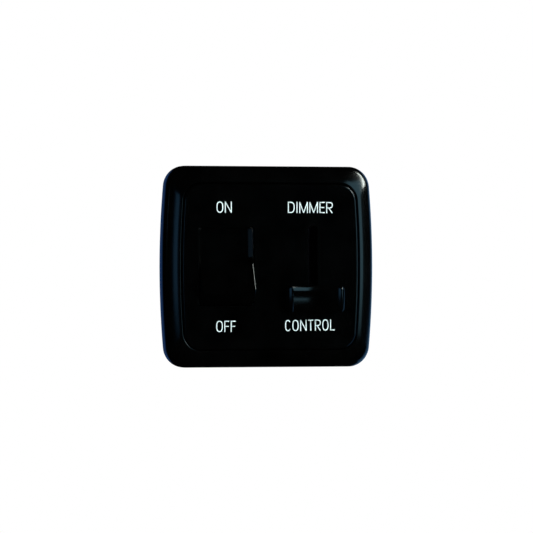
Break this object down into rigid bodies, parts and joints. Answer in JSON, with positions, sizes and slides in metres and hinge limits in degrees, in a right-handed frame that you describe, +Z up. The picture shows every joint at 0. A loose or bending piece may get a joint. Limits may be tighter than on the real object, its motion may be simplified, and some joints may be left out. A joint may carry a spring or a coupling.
{
  "type": "rocker light switch with slide dimmer",
  "caption": "Gloss black wall plate with bowed sides, an on and off rocker and a slide dimmer knob, and a closed rear housing with blade terminals.",
  "frame": {"origin": "centre of the wall surface behind the plate, on the axis between the four wall screw holes", "axes": "+Z up, +X to the right seen from the room, +Y into the wall; the front faces -Y"},
  "size_m": [0.0794, 0.047, 0.073],
  "materials": {
    "bezel_abs": "gloss black",
    "housing_abs": "gloss black",
    "cover_abs": "fine matt black",
    "control_abs": "gloss black",
    "switch_nylon": "satin black",
    "carriage_acetal": "satin white",
    "screw_steel": "zinc plated",
    "spring_steel": "bright wire",
    "pot_steel": "tin plated sheet",
    "contact_brass": "rolled strip",
    "contact_silver": "silver alloy",
    "terminal_tin": "tin plated",
    "board_glass_epoxy": "green solder resist",
    "element_phenolic": "brown laminate",
    "moulded_epoxy": "moulded black",
    "resistor_enamel": "beige enamel",
    "film_case": "red case",
    "capacitor_sleeve": "dark blue sleeve",
    "sink_aluminium": "mill finish"
  },
  "bodies": {
    "housing": {"trim_bezel": "bezel_abs", "front_housing": "housing_abs", "rear_cover": "cover_abs", "switch_body": "switch_nylon", "cover_screws": "screw_steel", "heat_sink_screw": "screw_steel", "pot_case": "pot_steel", "common_terminal": "contact_brass", "load_terminal": "contact_brass", "fixed_contact": "contact_silver", "pot_terminals": "terminal_tin", "supply_blade": "terminal_tin", "lamp_blade": "terminal_tin", "ground_blade": "terminal_tin", "circuit_board": "board_glass_epoxy", "element_board": "element_phenolic", "control_chip": "moulded_epoxy", "power_transistor": "moulded_epoxy", "flyback_diode": "moulded_epoxy", "resistors": "resistor_enamel", "timing_capacitors": "film_case", "filter_capacitor": "capacitor_sleeve", "heat_sink": "sink_aluminium"},
    "rocker": {"rocker_cap": "control_abs", "plunger_spring": "spring_steel"},
    "plunger": {"plunger": "carriage_acetal"},
    "lever": {"contact_lever": "contact_brass", "moving_contact": "contact_silver"},
    "slider": {"slider_knob": "control_abs", "slide_carriage": "carriage_acetal", "wiper_spring": "contact_brass"}
  },
  "joints": [
    {"name": "rocker_hinge", "type": "hinge", "parent": "housing", "child": "rocker", "pos_m": [-0.0165, 0.0014, 0], "axis": [1, 0, 0], "range_deg": [0, 30]},
    {"name": "plunger_slide", "type": "slide", "parent": "rocker", "child": "plunger", "axis": [0, -0.9659, 0.2588], "range_m": [0, 0.0008], "stiffness_N_per_m": 400, "springref_m": -0.002, "deforming": ["plunger_spring"]},
    {"name": "lever_hinge", "type": "hinge", "parent": "housing", "child": "lever", "pos_m": [-0.0165, 0.00955, 0], "axis": [1, 0, 0], "range_deg": [-12, 0]},
    {"name": "dimmer_slide", "type": "slide", "parent": "housing", "child": "slider", "axis": [0, 0, 1], "range_m": [0, 0.022]}
  ],
  "couplings": [
    {"joint": "lever_hinge", "follows": "rocker_hinge", "ratio": -0.4}
  ]
}
